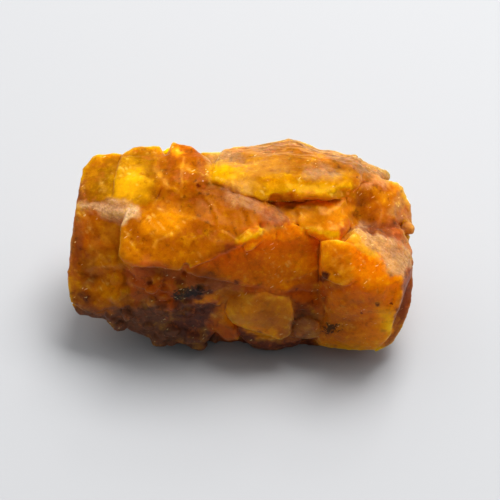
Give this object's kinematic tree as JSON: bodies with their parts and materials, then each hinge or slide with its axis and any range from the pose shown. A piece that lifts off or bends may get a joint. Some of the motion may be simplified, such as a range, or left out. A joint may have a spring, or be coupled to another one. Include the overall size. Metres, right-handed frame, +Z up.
{
  "type": "rough yellow sapphire",
  "caption": "Rough yellow sapphire: a broken, oblong block of translucent yellow to orange corundum with a brown matrix foot, resting on a flat parting.",
  "frame": {"origin": "under the middle of the stone's box, at the level of the flat parting that it rests on", "axes": "+Z up, +X along the stone's length from its squared end to its rounded end, +Y towards the back edge; the broad face leans back and looks up and towards -Y"},
  "size_m": [0.0502, 0.0258, 0.0237],
  "materials": {
    "corundum": "translucent, waxy to glassy on broken faces, rough on the matrix"
  },
  "bodies": {
    "root": {"sapphire": "corundum"}
  },
  "joints": []
}
